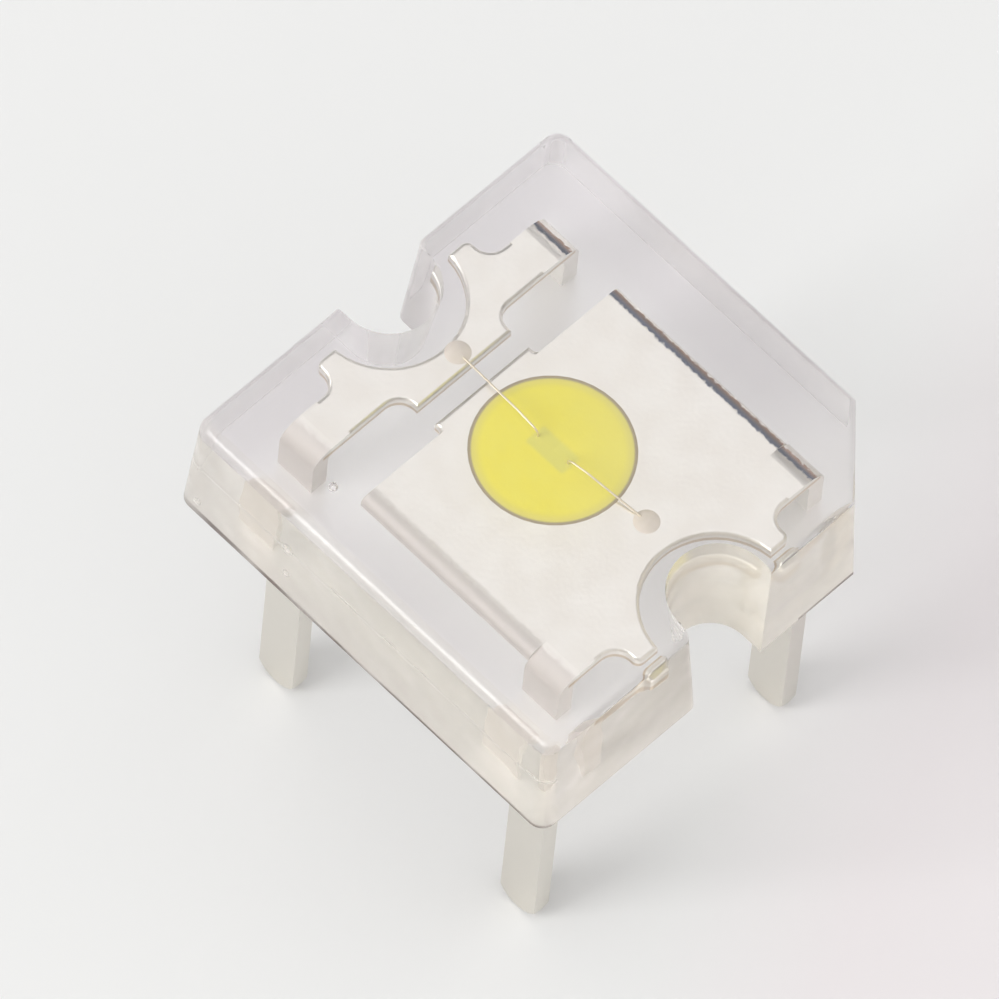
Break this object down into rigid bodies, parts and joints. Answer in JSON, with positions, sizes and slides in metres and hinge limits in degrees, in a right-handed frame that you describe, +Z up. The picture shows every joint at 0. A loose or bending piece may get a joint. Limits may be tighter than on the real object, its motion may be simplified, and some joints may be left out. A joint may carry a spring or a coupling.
{
  "type": "square four-lead led",
  "caption": "Flat-top square through-hole LED in clear epoxy with a cut corner, two side channels and flat leads.",
  "frame": {"origin": "in the plane of the lead tips, under the middle of the block", "axes": "+Z up through the flat light window; the side channels face -Y and +Y, and the cut corner is at +X -Y"},
  "size_m": [0.0076, 0.0076, 0.0074],
  "materials": {
    "clear_epoxy": "clear cast epoxy",
    "lead_frame_plate": "satin silver plate on copper alloy",
    "die_adhesive": "matt",
    "chip": "polished",
    "bond_metal": "gold",
    "bond_dot": "matt",
    "phosphor": "satin yellow silicone"
  },
  "bodies": {
    "root": {"lens_body": "clear_epoxy", "cup_frame": "lead_frame_plate", "bar_frame": "lead_frame_plate", "die_attach": "die_adhesive", "led_chip": "chip", "cup_side_pad": "bond_metal", "bar_side_pad": "bond_metal", "cup_bond_wire": "bond_metal", "bar_bond_wire": "bond_metal", "cup_bond_dot": "bond_dot", "bar_bond_dot": "bond_dot", "phosphor_fill": "phosphor"}
  },
  "joints": []
}
